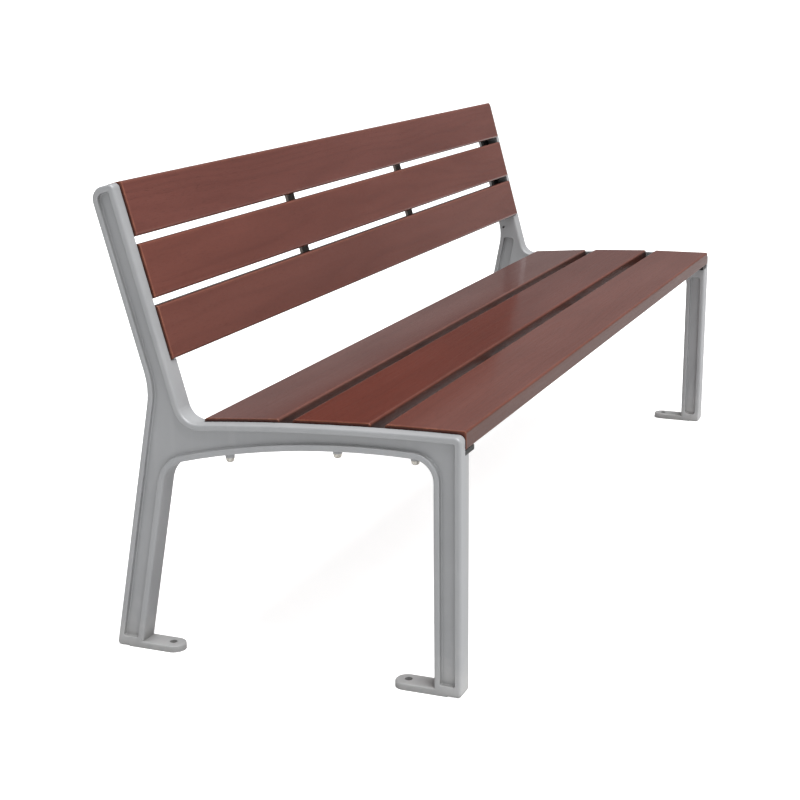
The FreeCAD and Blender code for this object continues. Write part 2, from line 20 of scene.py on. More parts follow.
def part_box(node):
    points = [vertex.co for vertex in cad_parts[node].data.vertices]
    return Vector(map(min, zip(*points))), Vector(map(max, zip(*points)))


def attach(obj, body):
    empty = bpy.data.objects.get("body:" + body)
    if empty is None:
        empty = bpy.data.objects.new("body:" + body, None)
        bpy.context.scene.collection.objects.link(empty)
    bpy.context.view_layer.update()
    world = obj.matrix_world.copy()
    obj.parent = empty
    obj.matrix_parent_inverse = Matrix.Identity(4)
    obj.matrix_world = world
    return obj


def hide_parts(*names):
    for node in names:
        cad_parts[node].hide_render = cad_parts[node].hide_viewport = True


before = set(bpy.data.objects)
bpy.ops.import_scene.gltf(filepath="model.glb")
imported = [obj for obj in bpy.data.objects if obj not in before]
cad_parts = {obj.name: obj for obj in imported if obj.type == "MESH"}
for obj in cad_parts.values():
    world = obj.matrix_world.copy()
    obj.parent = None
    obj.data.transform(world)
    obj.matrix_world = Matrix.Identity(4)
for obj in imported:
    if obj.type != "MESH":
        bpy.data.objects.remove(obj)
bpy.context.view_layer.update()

LOG = logging.getLogger("garden_bench")
Colour = tuple[float, float, float]
Socket = bpy.types.NodeSocket
Triple = tuple[float, float, float]
Range = tuple[float, float]

WELD_DISTANCE = 0.00001  # vertices closer than this are joined
SMOOTH_ANGLE = 35.0  # edges that bend less than this are shaded smooth
SQUARE_ON = 0.9  # the least share of a direction that counts as facing that way
WHITE = (1.0, 1.0, 1.0, 1.0)


class End(Enum):
    """The two ends of the bench, left being the end towards -X, as seen from the front."""

    LEFT = "left"
    RIGHT = "right"


class Drive(Enum):
    """The recess that turns a fastener."""

    HEX = "hex"
    CROSS = "cross"


# ---------------------------------------------------------------- node building


class Graph:
    """Adds, sets and joins the nodes of one node tree."""

    def __init__(self, tree: bpy.types.NodeTree) -> None:
        """Work on a node tree.

        Args:
            tree: The tree that new nodes go into.
        """
        self.tree = tree

    def add(
        self, kind: str, feeds: dict[Any, Any] | None = None, **options: Any
    ) -> bpy.types.Node:
        """Add a node, set its options and feed its inputs.

        Args:
            kind: The node's type name.
            feeds: Input name or number to a socket that is joined, or a value that is set.
            **options: Attributes of the node.

        Returns:
            The new node.
        """
        node = self.tree.nodes.new(kind)
        for name, value in options.items():
            setattr(node, name, value)
        for name, value in (feeds or {}).items():
            if isinstance(value, bpy.types.NodeSocket):
                self.tree.links.new(value, node.inputs[name])
            else:
                node.inputs[name].default_value = value
        return node

    def math(self, operation: str, *values: Any) -> Socket:
        """Calculate with one, two or three values.

        Args:
            operation: The Math node's operation.
            *values: Sockets or numbers.

        Returns:
            The result's socket.
        """
        node = self.add("ShaderNodeMath", dict(enumerate(values)), operation=operation)
        return node.outputs[0]

    def stretch(self, vector: Socket, factors: Triple) -> Socket:
        """Scale a coordinate by its own factor along each axis.

        Args:
            vector: The coordinate.
            factors: Factor along X, Y and Z, in cycles per metre.

        Returns:
            The scaled coordinate's socket.
        """
        node = self.add("ShaderNodeVectorMath", {0: vector, 1: factors}, operation="MULTIPLY")
        return node.outputs[0]

    def noise(
        self, vector: Socket, scale: float = 1.0, detail: float = 3.0, rough: float = 0.5
    ) -> Socket:
        """Soft random values.

        Args:
            vector: The coordinate.
            scale: Cycles per unit of the coordinate.
            detail: Octaves.
            rough: How strong the fine octaves are.

        Returns:
            The value's socket, about 0.3 to 0.7.
        """
        feeds = {"Vector": vector, "Scale": scale, "Detail": detail, "Roughness": rough}
        return self.add("ShaderNodeTexNoise", feeds).outputs["Fac"]

    def span(
        self, value: Socket, low: float, high: float, start: float = 0.0, end: float = 1.0
    ) -> Socket:
        """Map a value smoothly from one range to another and hold it there.

        Args:
            value: The value.
            low: The value that gives start.
            high: The value that gives end.
            start: The result at low.
            end: The result at high.

        Returns:
            The result's socket.
        """
        feeds = {"Value": value, "From Min": low, "From Max": high, "To Min": start, "To Max": end}
        node = self.add("ShaderNodeMapRange", feeds, interpolation_type="SMOOTHSTEP")
        return node.outputs["Result"]

    def blend(self, share: Any, first: Any, second: Any) -> Socket:
        """Mix two colours.

        Args:
            share: How much of the second colour, 0 to 1.
            first: Socket or colour at 0.
            second: Socket or colour at 1.

        Returns:
            The colour's socket.
        """
        feeds = {
            0: share,
            6: first if isinstance(first, bpy.types.NodeSocket) else (*first, 1.0),
            7: second if isinstance(second, bpy.types.NodeSocket) else (*second, 1.0),
        }
        return self.add("ShaderNodeMix", feeds, data_type="RGBA").outputs[2]

    def effect(self, effect: type["Effect"], feeds: dict[str, Any]) -> bpy.types.Node:
        """Place a shared effect.

        Args:
            effect: The effect's class.
            feeds: Its inputs.

        Returns:
            The group's node.
        """
        return self.add("ShaderNodeGroup", feeds, node_tree=effect.group())


class Effect:
    """A node group that several finishes share. It is built the first time it is used."""

    title: ClassVar[str] = ""
    takes: ClassVar[dict[str, float]] = {}
    gives: ClassVar[tuple[str, ...]] = ()

    @classmethod
    def group(cls) -> bpy.types.NodeTree:
        """Return the effect's node group.

        Returns:
            The node tree, with a Vector input and the effect's own sockets.
        """
        found = bpy.data.node_groups.get(cls.title)
        if found is not None:
            return found
        tree = bpy.data.node_groups.new(cls.title, "ShaderNodeTree")
        tree.interface.new_socket("Vector", in_out="INPUT", socket_type="NodeSocketVector")
        for name, value in cls.takes.items():
            socket = tree.interface.new_socket(name, in_out="INPUT", socket_type="NodeSocketFloat")
            socket.default_value = value
        for name in cls.gives:
            tree.interface.new_socket(name, in_out="OUTPUT", socket_type="NodeSocketFloat")
        source = tree.nodes.new("NodeGroupInput")
        drain = tree.nodes.new("NodeGroupOutput")
        made = cls.build(Graph(tree), source)
        for name, socket in zip(cls.gives, made):
            tree.links.new(socket, drain.inputs[name])
        return tree

    @classmethod
    def build(cls, graph: Graph, source: bpy.types.Node) -> tuple[Socket, ...]:
        """Make the nodes.

        Args:
            graph: The group's tree.
            source: The group's input node.

        Returns:
            One socket for each name in gives.
        """
        raise NotImplementedError


class TimberGrain(Effect):
    """Growth rings round a pith, long fibres, open pores and slow clouds of tone.

    The coordinate runs along the board in X. The pith is the coordinate's X axis.
    """

    title = "timber_grain"
    takes = {"Ring Spacing": 0.006, "Warp": 0.02}
    gives = ("Ring", "Fibre", "Pore", "Cloud")
    # Cycles per metre along the board and across it.
    drift = (1.1, 5.0, 5.0)
    unevenness = (0.8, 30.0, 30.0)
    fibres = (5.0, 330.0, 330.0)
    pores = (55.0, 1900.0, 1900.0)
    clouds = (1.6, 9.0, 9.0)
    # How far the unevenness shifts the rings, and how narrow their dark lines are.
    ring_shift = 1.6
    ring_power = 2.6
    # The fine noise over which wood turns to pore.
    pore_range = (0.60, 0.70)

    @classmethod
    def build(cls, graph: Graph, source: bpy.types.Node) -> tuple[Socket, ...]:
        """Make the nodes.

        Args:
            graph: The group's tree.
            source: The group's input node.

        Returns:
            Ring, fibre, pore and cloud sockets.
        """
        place = source.outputs["Vector"]
        slow = graph.stretch(place, cls.drift)
        drift = graph.add("ShaderNodeTexNoise", {"Vector": slow, "Scale": 1.0, "Detail": 2.0})
        centred = graph.add(
            "ShaderNodeVectorMath",
            {0: drift.outputs["Color"], 1: (0.5, 0.5, 0.5)},
            operation="SUBTRACT",
        )
        sway = graph.add(
            "ShaderNodeVectorMath",
            {0: centred.outputs[0], "Scale": source.outputs["Warp"]},
            operation="SCALE",
        )
        bent = graph.add("ShaderNodeVectorMath", {0: place, 1: sway.outputs[0]}, operation="ADD")
        across = graph.stretch(bent.outputs[0], (0.0, 1.0, 1.0))
        radius = graph.add("ShaderNodeVectorMath", {0: across}, operation="LENGTH").outputs["Value"]
        turns = graph.math("DIVIDE", radius, source.outputs["Ring Spacing"])
        uneven = graph.noise(graph.stretch(bent.outputs[0], cls.unevenness), detail=2.0)
        turns = graph.math("ADD", turns, graph.math("MULTIPLY", uneven, cls.ring_shift))
        wave = graph.math("SINE", graph.math("MULTIPLY", turns, 2 * math.pi))
        raised = graph.math("MULTIPLY_ADD", wave, 0.5, 0.5)
        ring = graph.math("POWER", raised, cls.ring_power)
        strands = graph.stretch(bent.outputs[0], cls.fibres)
        fibre = graph.noise(strands, detail=5.0, rough=0.62)
        fine = graph.noise(graph.stretch(place, cls.pores), detail=1.0)
        pore = graph.span(fine, *cls.pore_range)
        cloud = graph.noise(graph.stretch(place, cls.clouds), detail=3.0, rough=0.55)
        return ring, fibre, pore, cloud


class CastSkin(Effect):
    """The surface of a sand casting under paint: slow swells, grit and a few pits."""

    title = "cast_skin"
    takes = {"Grit": 0.3, "Pits": 0.4}
    gives = ("Height", "Blotch")
    # Cycles per metre.
    swells = 26.0
    grains = 520.0
    pits = 95.0
    pit_areas = 14.0
    blotches = 8.0
    # The distance from a pit's middle, in cells, over which it rises to the surface.
    pit_rim = (0.05, 0.16)

    @classmethod
    def build(cls, graph: Graph, source: bpy.types.Node) -> tuple[Socket, ...]:
        """Make the nodes.

        Args:
            graph: The group's tree.
            source: The group's input node.

        Returns:
            Height and blotch sockets.
        """
        place = source.outputs["Vector"]
        swell = graph.noise(place, cls.swells, 3.0)
        grit = graph.noise(place, cls.grains, 4.0, 0.65)
        feeds = {"Vector": place, "Scale": cls.pits, "Randomness": 1.0}
        cells = graph.add("ShaderNodeTexVoronoi", feeds)
        pit = graph.span(cells.outputs["Distance"], *cls.pit_rim, 1.0, 0.0)
        area = graph.span(graph.noise(place, cls.pit_areas), 0.5, 0.62)
        pit = graph.math("MULTIPLY", pit, area)
        height = graph.math("MULTIPLY_ADD", grit, source.outputs["Grit"], swell)
        pitted = graph.math("MULTIPLY", pit, source.outputs["Pits"])
        height = graph.math("SUBTRACT", height, pitted)
        blotch = graph.noise(place, cls.blotches, 5.0, 0.6)
        return height, blotch


class EdgeWear(Effect):
    """Where corners have lost some of their finish, broken up by noise; and the whole edge, along
    which timber paints a highlight.
    """

    title = "edge_wear"
    takes = {"Reach": 0.002, "Break Up": 60.0}
    gives = ("Mask", "Edge")
    # How alike the plain and the rounded normal are on a flat face and on a full edge.
    flat = 0.995
    folded = 0.86
    # The noise over which whole finish turns to worn.
    bare_range = (0.44, 0.62)

    @classmethod
    def build(cls, graph: Graph, source: bpy.types.Node) -> tuple[Socket, ...]:
        """Make the nodes.

        Args:
            graph: The group's tree.
            source: The group's input node.

        Returns:
            The broken-up mask's socket and the whole edge's socket.
        """
        rounded = graph.add("ShaderNodeBevel", {"Radius": source.outputs["Reach"]}, samples=4)
        plain = graph.add("ShaderNodeNewGeometry").outputs["Normal"]
        feeds = {0: rounded.outputs["Normal"], 1: plain}
        alike = graph.add("ShaderNodeVectorMath", feeds, operation="DOT_PRODUCT").outputs["Value"]
        edge = graph.span(alike, cls.flat, cls.folded)
        speck = graph.add(
            "ShaderNodeTexNoise",
            {
                "Vector": source.outputs["Vector"],
                "Scale": source.outputs["Break Up"],
                "Detail": 4.0,
                "Roughness": 0.65,
            },
        )
        worn = graph.span(speck.outputs["Fac"], *cls.bare_range)
        return graph.math("MULTIPLY", edge, worn), edge


class Crevice(Effect):
    """How far a point lies down a narrow gap, 0 in the open and 1 deep inside. The finishes paint
    shade with it.
    """

    title = "crevice"
    takes = {"Reach": 0.04}
    gives = ("Depth",)
    # Patches in cycles per metre, and how much they change the result.
    patches = 30.0
    patch_share = 0.12
    # The share of open surroundings in the open and deep inside.
    in_the_open = 0.88
    deep_inside = 0.42

    @classmethod
    def build(cls, graph: Graph, source: bpy.types.Node) -> tuple[Socket, ...]:
        """Make the nodes.

        Args:
            graph: The group's tree.
            source: The group's input node.

        Returns:
            The depth's socket.
        """
        feeds = {"Distance": source.outputs["Reach"]}
        open_share = graph.add("ShaderNodeAmbientOcclusion", feeds, samples=8).outputs["AO"]
        patchy = graph.noise(source.outputs["Vector"], cls.patches)
        uneven = graph.math("MULTIPLY", patchy, cls.patch_share)
        share = graph.math("ADD", open_share, uneven)
        return (graph.span(share, cls.in_the_open, cls.deep_inside),)


class Weather(Effect):
    """Paler low down, for settled dust and painted light near the ground, and soft streaks where
    rain has run.
    """

    title = "weather"
    takes = {"Splash Height": 0.12}
    gives = ("Dust", "Streak")
    # Cycles per metre: of the dust's patches, of the runs, and of where there are any.
    splashes = 35.0
    runs = (55.0, 55.0, 2.4)
    areas = (4.0, 4.0, 2.0)

    @classmethod
    def build(cls, graph: Graph, source: bpy.types.Node) -> tuple[Socket, ...]:
        """Make the nodes.

        Args:
            graph: The group's tree.
            source: The group's input node.

        Returns:
            Dust and streak sockets.
        """
        place = source.outputs["Vector"]
        height = graph.add("ShaderNodeSeparateXYZ", {0: place}).outputs["Z"]
        low = graph.math("DIVIDE", height, source.outputs["Splash Height"])
        patchy = graph.math("MULTIPLY_ADD", graph.noise(place, cls.splashes, 4.0), 1.2, low)
        dust_and_light = graph.span(patchy, 0.45, 1.5, 1.0, 0.0)
        runs = graph.noise(graph.stretch(place, cls.runs), detail=3.0)
        where = graph.noise(graph.stretch(place, cls.areas), detail=1.0)
        streak = graph.math("MULTIPLY", graph.span(runs, 0.5, 0.66), graph.span(where, 0.42, 0.6))
        return dust_and_light, streak


# ---------------------------------------------------------------- finishes


@dataclass(frozen=True)
class Finish:
    """What every finish has: a name, a slot name and a shader."""

    name: str
    slot: str

    def start(self, **sockets: Any) -> tuple[bpy.types.Material, Graph, bpy.types.Node, Socket]:
        """Make an empty material with its shader.

        Args:
            **sockets: Values for the shader's inputs, with underscores for spaces.

        Returns:
            The material, its graph, its shader and the object coordinate.
        """
        material = bpy.data.materials.new(self.name)
        material.use_nodes = True
        tree = material.node_tree
        tree.nodes.clear()
        graph = Graph(tree)
        shader = graph.add("ShaderNodeBsdfPrincipled")
        for label, value in sockets.items():
            shader.inputs[label.replace("_", " ")].default_value = value
        graph.add("ShaderNodeOutputMaterial", {"Surface": shader.outputs["BSDF"]})
        place = graph.add("ShaderNodeTexCoord").outputs["Object"]
        return material, graph, shader, place

    def bump(
        self, graph: Graph, shader: bpy.types.Node, height: Socket, depth: float, strength: float
    ) -> None:
        """Give the surface a relief.

        Args:
            graph: The material's graph.
            shader: The material's shader.
            height: The relief, 0 to 1.
            depth: How deep a relief of 1 is.
            strength: How much of it shows.
        """
        feeds = {"Height": height, "Distance": depth, "Strength": strength}
        relief = graph.add("ShaderNodeBump", feeds)
        graph.tree.links.new(relief.outputs["Normal"], shader.inputs["Normal"])

    def material(self) -> bpy.types.Material:
        """Make the material."""
        raise NotImplementedError


@dataclass(frozen=True)
class CastPaint(Finish):
    """Satin silver-grey paint on a casting."""

    name: str = "silver_paint_on_casting"
    slot: str = "frame_paint"
    shade: Colour = (0.380, 0.386, 0.396)
    dark_shade: Colour = (0.355, 0.361, 0.371)
    worn_shade: Colour = (0.54, 0.54, 0.545)
    # Paler paint low down: settled dust, and painted light lifting the shade on the foot plates.
    dust_and_light_shade: Colour = (0.56, 0.555, 0.545)
    # Painted shade: the colour the paint is darkened towards down gaps and in corners.
    crevice_shadow_shade: Colour = (0.150, 0.145, 0.135)
    roughness: float = 0.42
    metallic: float = 0.10
    specular: float = 0.4
    grit: float = 0.22
    pits: float = 0.35
    wear_reach: float = 0.0022
    wear_break_up: float = 45.0
    splash_height: float = 0.10
    crevice_reach: float = 0.03
    streak_share: float = 0.10
    dust_and_light_share: float = 0.5
    worn_share: float = 0.45
    painted_shade_share: float = 0.4
    relief_depth: float = 0.0008
    relief_strength: float = 0.45

    def material(self) -> bpy.types.Material:
        """Make the material.

        Returns:
            The paint.
        """
        material, graph, shader, place = self.start(
            Metallic=self.metallic, Specular_IOR_Level=self.specular
        )
        skin = graph.effect(CastSkin, {"Vector": place, "Grit": self.grit, "Pits": self.pits})
        feeds = {"Vector": place, "Reach": self.wear_reach, "Break Up": self.wear_break_up}
        wear = graph.effect(EdgeWear, feeds)
        weather = graph.effect(Weather, {"Vector": place, "Splash Height": self.splash_height})
        blotch = graph.span(skin.outputs["Blotch"], 0.35, 0.65)
        colour = graph.blend(blotch, self.dark_shade, self.shade)
        streak = graph.math("MULTIPLY", weather.outputs["Streak"], self.streak_share)
        colour = graph.blend(streak, colour, self.worn_shade)
        # Paler low down: settled dust, and painted light lifting the shade on the foot plates.
        dust_and_light = graph.math("MULTIPLY", weather.outputs["Dust"], self.dust_and_light_share)
        colour = graph.blend(dust_and_light, colour, self.dust_and_light_shade)
        worn = graph.math("MULTIPLY", wear.outputs["Mask"], self.worn_share)
        colour = graph.blend(worn, colour, self.worn_shade)
        # Painted shade: darken the paint down gaps and in corners, where little light reaches.
        crevice = graph.effect(Crevice, {"Vector": place, "Reach": self.crevice_reach})
        painted_shade = graph.math("MULTIPLY", crevice.outputs["Depth"], self.painted_shade_share)
        colour = graph.blend(painted_shade, colour, self.crevice_shadow_shade)
        graph.tree.links.new(colour, shader.inputs["Base Color"])
        rough = graph.math("MULTIPLY_ADD", skin.outputs["Blotch"], 0.16, self.roughness - 0.06)
        rough = graph.math("ADD", rough, graph.math("MULTIPLY", dust_and_light, 0.25))
        graph.tree.links.new(rough, shader.inputs["Roughness"])
        self.bump(
            graph, shader, skin.outputs["Height"], self.relief_depth, self.relief_strength
        )
        return material


@dataclass(frozen=True)
class BarPaint(Finish):
    """Paint on rolled steel flat, rubbed through at the corners."""

    name: str = "black_paint_and_shade_on_steel_bar"
    slot: str = "bar_paint"
    # Near black: on the bearers this also stands for the shade deep under and behind the slat ends.
    shade: Colour = (0.030, 0.029, 0.028)
    dark_shade: Colour = (0.018, 0.018, 0.017)
    steel_shade: Colour = (0.30, 0.28, 0.26)
    roughness: float = 0.48
    specular: float = 0.2
    grit: float = 0.35
    pits: float = 0.1
    wear_reach: float = 0.0012
    wear_break_up: float = 90.0
    relief_depth: float = 0.0006
    relief_strength: float = 0.5

    def material(self) -> bpy.types.Material:
        """Make the material.

        Returns:
            The paint.
        """
        material, graph, shader, place = self.start(Specular_IOR_Level=self.specular)
        skin = graph.effect(CastSkin, {"Vector": place, "Grit": self.grit, "Pits": self.pits})
        feeds = {"Vector": place, "Reach": self.wear_reach, "Break Up": self.wear_break_up}
        wear = graph.effect(EdgeWear, feeds)
        blotch = graph.span(skin.outputs["Blotch"], 0.38, 0.62)
        colour = graph.blend(blotch, self.dark_shade, self.shade)
        colour = graph.blend(wear.outputs["Mask"], colour, self.steel_shade)
        graph.tree.links.new(colour, shader.inputs["Base Color"])
        graph.tree.links.new(wear.outputs["Mask"], shader.inputs["Metallic"])
        rough = graph.math("MULTIPLY_ADD", skin.outputs["Blotch"], 0.2, self.roughness - 0.1)
        graph.tree.links.new(rough, shader.inputs["Roughness"])
        self.bump(
            graph, shader, skin.outputs["Height"], self.relief_depth, self.relief_strength
        )
        return material


@dataclass(frozen=True)
class ZincPlate(Finish):
    """Zinc plate with a faint crystal pattern and dull, stained patches."""

    name: str = "zinc_plate"
    slot: str = "zinc"
    shade: Colour = (0.62, 0.60, 0.56)
    dull_shade: Colour = (0.36, 0.33, 0.28)
    roughness: float = 0.34
    crystals: float = 900.0
    crystal_share: float = 0.35
    stains: float = 260.0
    stain_share: float = 0.8
    ripples: float = 1400.0
    relief_depth: float = 0.0001
    relief_strength: float = 0.4

    def material(self) -> bpy.types.Material:
        """Make the material.

        Returns:
            The plating.
        """
        material, graph, shader, place = self.start(Metallic=1.0)
        crystals = graph.add("ShaderNodeTexVoronoi", {"Vector": place, "Scale": self.crystals})
        tint = graph.add("ShaderNodeRGBToBW", {0: crystals.outputs["Color"]}).outputs[0]
        stain = graph.span(graph.noise(place, self.stains, 4.0, 0.6), 0.42, 0.66)
        crystal = graph.math("MULTIPLY", tint, self.crystal_share)
        colour = graph.blend(crystal, self.shade, self.dull_shade)
        stained = graph.math("MULTIPLY", stain, self.stain_share)
        colour = graph.blend(stained, colour, self.dull_shade)
        graph.tree.links.new(colour, shader.inputs["Base Color"])
        rough = graph.math("MULTIPLY_ADD", stain, 0.22, self.roughness)
        graph.tree.links.new(rough, shader.inputs["Roughness"])
        ripple = graph.noise(place, self.ripples, 3.0)
        self.bump(graph, shader, ripple, self.relief_depth, self.relief_strength)
        return material


@dataclass(frozen=True, kw_only=True)
class StainedTimber(Finish):
    """Red-brown stained hardwood under a semi-gloss varnish, one board's worth.

    The pattern is centred on the board and turned with it, so the end grain shows the
    same rings as the faces do.
    """

    slot: str = "stained_wood"
    centre: Triple
    tilt: float
    pith: tuple[float, float]
    shift: float
    pale: Colour
    dark: Colour
    # Near black: the pores, and the painted shade deep in the gaps between boards.
    pore_and_gap_shadow_shade: Colour = (0.014, 0.005, 0.004)
    # Pale warm colour for worn corners and for a painted highlight along every arris.
    wear_and_arris_highlight_shade: Colour = (0.400, 0.155, 0.090)
    # Painted shade on the long narrow sides.
    painted_side_shade: Colour = (0.062, 0.036, 0.028)
    roughness: float = 0.40
    specular: float = 0.12
    coat_roughness: float = 0.13
    coat_refraction: float = 1.42
    ring_spacing: float = 0.0062
    ring_warp: float = 0.045
    ring_share: float = -0.20
    fibre_share: float = 0.22
    cloud_share: float = 0.42
    least_tone: float = 0.28
    pore_share: float = 0.35
    wear_reach: float = 0.007
    wear_break_up: float = 55.0
    worn_share: float = 0.35
    arris_highlight_share: float = 0.40
    crevice_reach: float = 0.05
    painted_shade_share: float = 0.93
    painted_side_share: float = 0.55
    side_range: Range = (0.75, 0.97)
    relief_depth: float = 0.0003
    relief_strength: float = 0.35

    def side(self, graph: Graph) -> Socket:
        """Find the board's long narrow sides, where the varnish is thin and dull, and shade is
        painted in.

        Args:
            graph: The material's graph.

        Returns:
            The mask's socket.
        """
        turn = math.radians(-self.tilt)
        normal = graph.add("ShaderNodeNewGeometry").outputs["Normal"]
        feeds = {0: normal, 1: (0.0, math.cos(turn), math.sin(turn))}
        facing = graph.add("ShaderNodeVectorMath", feeds, operation="DOT_PRODUCT").outputs["Value"]
        return graph.span(graph.math("ABSOLUTE", facing), *self.side_range)

    def material(self) -> bpy.types.Material:
        """Make the material.

        Returns:
            The timber.
        """
        material, graph, shader, place = self.start(
            Coat_Roughness=self.coat_roughness,
            Coat_IOR=self.coat_refraction,
            Specular_IOR_Level=self.specular,
        )
        middle = graph.add(
            "ShaderNodeMapping",
            {"Vector": place, "Location": [-c for c in self.centre]},
            vector_type="POINT",
        ).outputs[0]
        turned = graph.add(
            "ShaderNodeMapping",
            {"Vector": middle, "Rotation": (math.radians(self.tilt), 0.0, 0.0)},
            vector_type="POINT",
        ).outputs[0]
        board = graph.add(
            "ShaderNodeMapping",
            {"Vector": turned, "Location": (self.shift, -self.pith[0], -self.pith[1])},
            vector_type="POINT",
        ).outputs[0]
        feeds = {"Vector": board, "Ring Spacing": self.ring_spacing, "Warp": self.ring_warp}
        grain = graph.effect(TimberGrain, feeds)
        fibre = graph.span(grain.outputs["Fibre"], 0.30, 0.70)
        cloud = graph.span(grain.outputs["Cloud"], 0.32, 0.68)
        clouded = graph.math("MULTIPLY", cloud, self.cloud_share)
        tone = graph.math("MULTIPLY_ADD", fibre, self.fibre_share, clouded)
        tone = graph.math("ADD", tone, self.least_tone)
        tone = graph.math("MULTIPLY_ADD", grain.outputs["Ring"], self.ring_share, tone)
        tone = graph.math("MAXIMUM", graph.math("MINIMUM", tone, 1.0), 0.0)
        colour = graph.blend(tone, self.dark, self.pale)
        pore = graph.math("MULTIPLY", grain.outputs["Pore"], self.pore_share)
        colour = graph.blend(pore, colour, self.pore_and_gap_shadow_shade)
        feeds = {"Vector": place, "Reach": self.wear_reach, "Break Up": self.wear_break_up}
        wear = graph.effect(EdgeWear, feeds)
        # Wear broken up by noise, plus a painted highlight along the whole of every edge.
        worn = graph.math("MULTIPLY", wear.outputs["Mask"], self.worn_share)
        worn = graph.math("MULTIPLY_ADD", wear.outputs["Edge"], self.arris_highlight_share, worn)
        colour = graph.blend(worn, colour, self.wear_and_arris_highlight_shade)
        # Painted shade: darken the wood down the gaps between the boards.
        crevice = graph.effect(Crevice, {"Vector": place, "Reach": self.crevice_reach})
        painted_shade = graph.math("MULTIPLY", crevice.outputs["Depth"], self.painted_shade_share)
        colour = graph.blend(painted_shade, colour, self.pore_and_gap_shadow_shade)
        # Painted shade on the long narrow sides, less of it down the gaps, which are darkened
        # already.
        side = self.side(graph)
        open_side_share = graph.math("MULTIPLY_ADD", painted_shade, -0.6, self.painted_side_share)
        shaded_side = graph.math("MULTIPLY", side, open_side_share)
        colour = graph.blend(shaded_side, colour, self.painted_side_shade)
        graph.tree.links.new(colour, shader.inputs["Base Color"])
        rough = graph.math("MULTIPLY_ADD", grain.outputs["Fibre"], 0.18, self.roughness - 0.09)
        rough = graph.math("MULTIPLY_ADD", pore, 0.25, rough)
        graph.tree.links.new(rough, shader.inputs["Roughness"])
        coat = graph.math("MULTIPLY_ADD", grain.outputs["Cloud"], 0.4, 0.35)
        coat = graph.math("MULTIPLY", coat, graph.math("MULTIPLY_ADD", painted_shade, -1.05, 1.0))
        coat = graph.math("MULTIPLY", coat, graph.math("MULTIPLY_ADD", side, -0.85, 1.0))
        graph.tree.links.new(coat, shader.inputs["Coat Weight"])
        relief = graph.math("MULTIPLY_ADD", fibre, 0.5, graph.math("MULTIPLY", pore, -0.9))
        relief = graph.math("MULTIPLY_ADD", grain.outputs["Ring"], -0.3, relief)
        self.bump(graph, shader, relief, self.relief_depth, self.relief_strength)
        return material


# ---------------------------------------------------------------- mesh work


class Bench:
    """Steps that all the sub-assemblies share."""

    @staticmethod
    def deselect() -> None:
        """Leave object mode with nothing selected."""
        if bpy.context.object and bpy.context.object.mode != "OBJECT":
            bpy.ops.object.mode_set(mode="OBJECT")
        bpy.ops.object.select_all(action="DESELECT")

    @staticmethod
    def dress(node: str, material: bpy.types.Material, slot: str) -> None:
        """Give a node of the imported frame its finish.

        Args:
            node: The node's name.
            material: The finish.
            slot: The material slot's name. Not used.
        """
        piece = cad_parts[node]
        if not piece.material_slots:
            piece.data.materials.append(material)
        for place in piece.material_slots:
            place.material = material
        LOG.info("%s wears %s", node, material.name)

    @staticmethod
    def welded_copy(node: str, name: str) -> bpy.types.Object:
        """Copy a node's mesh with its loose triangles joined up.

        Args:
            node: The node's name.
            name: The copy's name.

        Returns:
            The copy, at the origin, selected and active.
        """
        Bench.deselect()
        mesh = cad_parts[node].data.copy()
        mesh.name = name
        piece = bpy.data.objects.new(name, mesh)
        bpy.context.scene.collection.objects.link(piece)
        piece.select_set(True)
        bpy.context.view_layer.objects.active = piece
        bpy.ops.object.mode_set(mode="EDIT")
        bpy.ops.mesh.select_all(action="SELECT")
        bpy.ops.mesh.customdata_custom_splitnormals_clear()
        bpy.ops.mesh.remove_doubles(threshold=WELD_DISTANCE)
        bpy.ops.mesh.normals_make_consistent(inside=False)
        bpy.ops.object.mode_set(mode="OBJECT")
        return piece


@dataclass
class EndFrames:
    """The two cast end frames."""

    paint: CastPaint = CastPaint()

    def build(self) -> None:
        """Dress both castings."""
        material = self.paint.material()
        for end in End:
            Bench.dress(f"{end.value}_end_frame", material, self.paint.slot)


